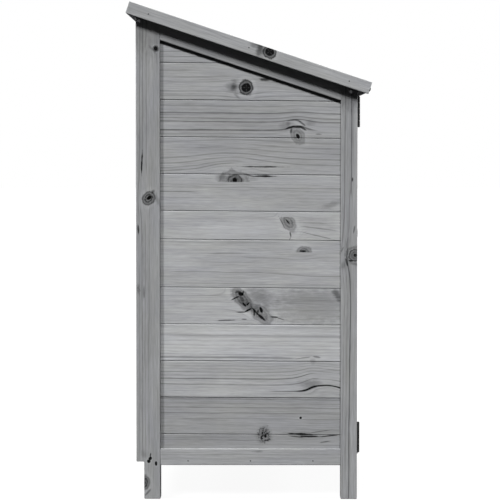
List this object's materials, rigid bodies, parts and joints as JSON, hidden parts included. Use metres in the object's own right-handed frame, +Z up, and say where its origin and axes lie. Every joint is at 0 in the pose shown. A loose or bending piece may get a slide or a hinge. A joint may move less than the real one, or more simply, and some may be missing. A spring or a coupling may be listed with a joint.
{
  "type": "garden shed",
  "caption": "Small lean-to garden tool shed in grey-stained timber: framed and boarded sides, sloping felted roof, outward-opening double doors with a sliding bolt, floor and shelf.",
  "frame": {"origin": "on the ground under the middle of the roof", "axes": "+Z up, -Y towards the doors, +X to the right seen from the front"},
  "size_m": [0.7506, 0.5654, 1.151],
  "materials": {
    "grey_stained_fir": "matt grey stain",
    "black_steel": "satin black",
    "zinc_plated_steel": "dull zinc",
    "roofing_felt": "mineral felt",
    "catch_plastic": "moulded"
  },
  "bodies": {
    "shed": {"back_boards": "grey_stained_fir", "back_bottom_rail": "grey_stained_fir", "back_top_rail": "grey_stained_fir", "felt_tacks": "zinc_plated_steel", "floor_boards": "grey_stained_fir", "frame_screws": "zinc_plated_steel", "front_header": "grey_stained_fir", "front_sill": "grey_stained_fir", "hinge_pins": "black_steel", "left_barge_board": "grey_stained_fir", "left_bottom_rail": "grey_stained_fir", "left_floor_cleat": "grey_stained_fir", "left_front_post": "grey_stained_fir", "left_post_hinge_leaves": "black_steel", "left_rear_post": "grey_stained_fir", "left_roof_batten": "grey_stained_fir", "left_shelf_cleat": "grey_stained_fir", "left_side_boards": "grey_stained_fir", "left_top_rail": "grey_stained_fir", "magnet_catches": "catch_plastic", "panel_pins": "zinc_plated_steel", "post_hinge_screws": "black_steel", "rear_fascia": "grey_stained_fir", "right_barge_board": "grey_stained_fir", "right_bottom_rail": "grey_stained_fir", "right_floor_cleat": "grey_stained_fir", "right_front_post": "grey_stained_fir", "right_post_hinge_leaves": "black_steel", "right_rear_post": "grey_stained_fir", "right_roof_batten": "grey_stained_fir", "right_shelf_cleat": "grey_stained_fir", "right_side_boards": "grey_stained_fir", "right_top_rail": "grey_stained_fir", "roof_deck_boards": "grey_stained_fir", "roof_felt": "roofing_felt", "shelf_boards": "grey_stained_fir"},
    "left_door": {"left_door_boards": "grey_stained_fir", "left_door_bottom_rail": "grey_stained_fir", "left_door_hinge_leaves": "black_steel", "left_door_hinge_stile": "grey_stained_fir", "left_door_knob": "black_steel", "left_door_lock_rail": "grey_stained_fir", "left_door_meeting_stile": "grey_stained_fir", "left_door_screws": "black_steel", "left_door_top_rail": "grey_stained_fir", "left_strike_plate": "zinc_plated_steel", "bolt_keeper": "black_steel"},
    "right_door": {"right_door_boards": "grey_stained_fir", "right_door_bottom_rail": "grey_stained_fir", "right_door_hinge_leaves": "black_steel", "right_door_hinge_stile": "grey_stained_fir", "right_door_knob": "black_steel", "right_door_lock_rail": "grey_stained_fir", "right_door_meeting_stile": "grey_stained_fir", "right_door_screws": "black_steel", "right_door_top_rail": "grey_stained_fir", "right_strike_plate": "zinc_plated_steel", "bolt_plate": "black_steel"},
    "bolt": {"sliding_bolt": "black_steel"}
  },
  "joints": [
    {"name": "left_door_swing", "type": "hinge", "parent": "shed", "child": "left_door", "pos_m": [-0.304, -0.2543, 0.51927], "axis": [0, 0, -1], "range_deg": [0, 180]},
    {"name": "right_door_swing", "type": "hinge", "parent": "shed", "child": "right_door", "pos_m": [0.304, -0.2543, 0.51927], "axis": [0, 0, 1], "range_deg": [0, 180]},
    {"name": "bolt_slide", "type": "slide", "parent": "right_door", "child": "bolt", "axis": [-1, 0, 0], "range_m": [0, 0.03]}
  ]
}
